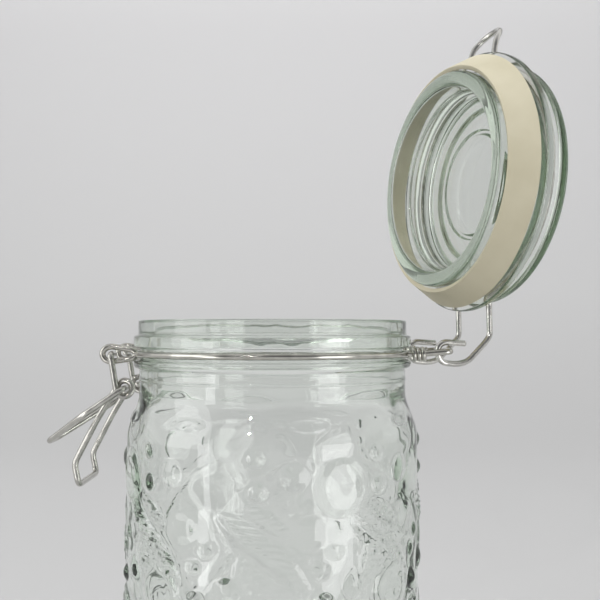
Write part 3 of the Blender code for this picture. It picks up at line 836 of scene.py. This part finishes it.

# %% [markdown]
# ## Studio
#
# The jar stands in a plain pale studio. The floor sweeps up into the backdrop in one
# curve, so no horizon line shows through the glass. The paper's colour holds painted
# light: it is painted paler with height, standing in for light that falls more on the
# upper wall, which is simpler and steadier than a light that fades up the wall.

# %% The paper sweep
def sweep(width, depth, height, curve):
    """A floor that bends up into a wall: straight, a quarter circle, straight."""
    turn = np.linspace(0, math.pi / 2, 24)
    bend = np.stack([depth - curve + curve * np.sin(turn), curve - curve * np.cos(turn)], axis=1)
    line = np.vstack([[(-depth, 0)], bend, [(depth, height)]])
    left = np.column_stack([np.full(len(line), -width), line])
    right = np.column_stack([np.full(len(line), width), line])
    index = np.arange(len(line) - 1)
    faces = np.stack([index, index + len(line), index + len(line) + 1, index + 1], axis=1)
    mesh = bpy.data.meshes.new("studio_sweep")
    mesh.from_pydata(np.vstack([left, right]).tolist(), [], faces.tolist())
    mesh.shade_smooth()
    return mesh


def paper_painted_light():
    """Matt paper with painted light: its colour is painted paler with height, as on a lit
    backdrop.
    """
    mat, nodes, links, shader, _ = new_material("studio_paper_painted_light")
    shader.inputs["Roughness"].default_value = 0.9
    coords = nodes.new("ShaderNodeTexCoord")
    split = nodes.new("ShaderNodeSeparateXYZ")
    # Painted light: darker at the floor and paler up the wall, standing in for how the light
    # falls
    ramp = colour_ramp(nodes, (0, (0.45, 0.45, 0.45)), (0.23, (0.55, 0.55, 0.55)),
                       (0.95, (0.77, 0.765, 0.77)))
    links.new(coords.outputs["Object"], split.inputs["Vector"])
    links.new(split.outputs["Z"], ramp.inputs["Fac"])
    links.new(ramp.outputs["Color"], shader.inputs["Base Color"])
    return mat


sweep_mesh = sweep(width=3.0, depth=1.6, height=3.0, curve=0.9)
sweep_mesh.materials.append(paper_painted_light())
floor = bpy.data.objects.new("studio_sweep", sweep_mesh)
bpy.context.scene.collection.objects.link(floor)
print("paper sweep:", len(sweep_mesh.polygons), "faces")

# %% [markdown]
# Glass shows little of its own, only what it mirrors and bends. So each light is told what
# it may do. Two narrow boxes close to the jar are there for the upright streaks alone, and
# light nothing matt. A wide box above and one in front light the paper and the rubber, and
# aren't mirrored, because they would lie as large white patches on collar and shoulder. A
# box at the side does both, and a small bright one gives sharp sparks on the glass.

# %% Soft boxes
def soft_box(name, place, aim, width, height, watts, mirrored=True, lighting=True):
    """An area light turned to face a point.

    With mirrored off it isn't seen in glass or metal, and with lighting off it throws no
    light on matt surfaces.
    """
    light = bpy.data.lights.new(name, "AREA")
    light.shape = "RECTANGLE"
    light.size = width
    light.size_y = height
    light.energy = watts
    box = bpy.data.objects.new(name, light)
    box.location = place
    box.rotation_euler = (Vector(aim) - Vector(place)).to_track_quat("-Z", "Y").to_euler()
    box.visible_glossy = mirrored
    box.visible_transmission = mirrored
    box.visible_diffuse = lighting
    bpy.context.scene.collection.objects.link(box)


soft_box("box_above", (0, 0.3, 1.7), (0, 0.5, 0.1), 3.2, 2.0, 28, mirrored=False)
soft_box("box_left", (-0.175, -0.175, 0.075), (-0.02, -0.049, 0.075), 0.036, 0.15, 0.06,
         lighting=False)
soft_box("box_right", (0.179, -0.172, 0.075), (0.022, -0.048, 0.075), 0.10, 0.15, 0.14,
         lighting=False)
soft_box("box_side", (-1.3, -0.5, 0.5), (0, 0, 0.12), 0.8, 1.0, 5)
soft_box("box_front", (0.5, -1.5, 0.4), (0.05, 0, 0.17), 1.2, 0.7, 9, mirrored=False)
soft_box("box_spark", (-0.25, -0.8, 0.62), (0, 0, 0.12), 0.025, 0.025, 1.0)
print("lights:", len(bpy.data.lights))


# %% The air round the jar
def studio_air():
    """A world that is pale behind and at the sides, and darker in front of the jar."""
    world = bpy.data.worlds.new("studio_air")
    world.use_nodes = True
    nodes, links = world.node_tree.nodes, world.node_tree.links
    coords = nodes.new("ShaderNodeTexCoord")
    split = nodes.new("ShaderNodeSeparateXYZ")
    ramp = colour_ramp(nodes, (0.12, (0.16, 0.16, 0.165)), (0.5, (0.95, 0.95, 0.95)))
    spread = nodes.new("ShaderNodeMapRange")
    spread.inputs["From Min"].default_value = -1.0
    links.new(coords.outputs["Generated"], split.inputs["Vector"])
    links.new(split.outputs["Y"], spread.inputs["Value"])
    links.new(spread.outputs["Result"], ramp.inputs["Fac"])
    links.new(ramp.outputs["Color"], nodes["Background"].inputs["Color"])
    bpy.context.scene.world = world


studio_air()
bpy.context.scene.cycles.glossy_bounces = 12
bpy.context.scene.view_settings.view_transform = "Standard"
print("world:", bpy.context.scene.world.name)

# %% [markdown]
# The camera stands close, almost level with the rim, and looks slightly up, so that the
# rim shows as a thin oval and the lid stands above it. Its lens comes from a length in
# pixels: the picture's width in pixels is to the sensor's width as that length is to the
# lens's.

# %% The camera
CAMERA_PLACE = (10.0 * MM, -296.5 * MM, JAR_H - 5.05 * MM)
CAMERA_UP_DEG = 2.5
FOCAL_PIXELS = 797
IMAGE_PIXELS = 600
lens = bpy.data.cameras.new("photo_view")
lens.sensor_width = 36
lens.lens = FOCAL_PIXELS / IMAGE_PIXELS * lens.sensor_width
lens.clip_start = 0.01
camera = bpy.data.objects.new("photo_view", lens)
camera.location = CAMERA_PLACE
camera.rotation_euler = (math.radians(90 + CAMERA_UP_DEG), 0, 0)
bpy.context.scene.collection.objects.link(camera)
bpy.context.scene.camera = camera
print("lens", round(lens.lens, 2), "mm at", [round(value, 4) for value in camera.location])
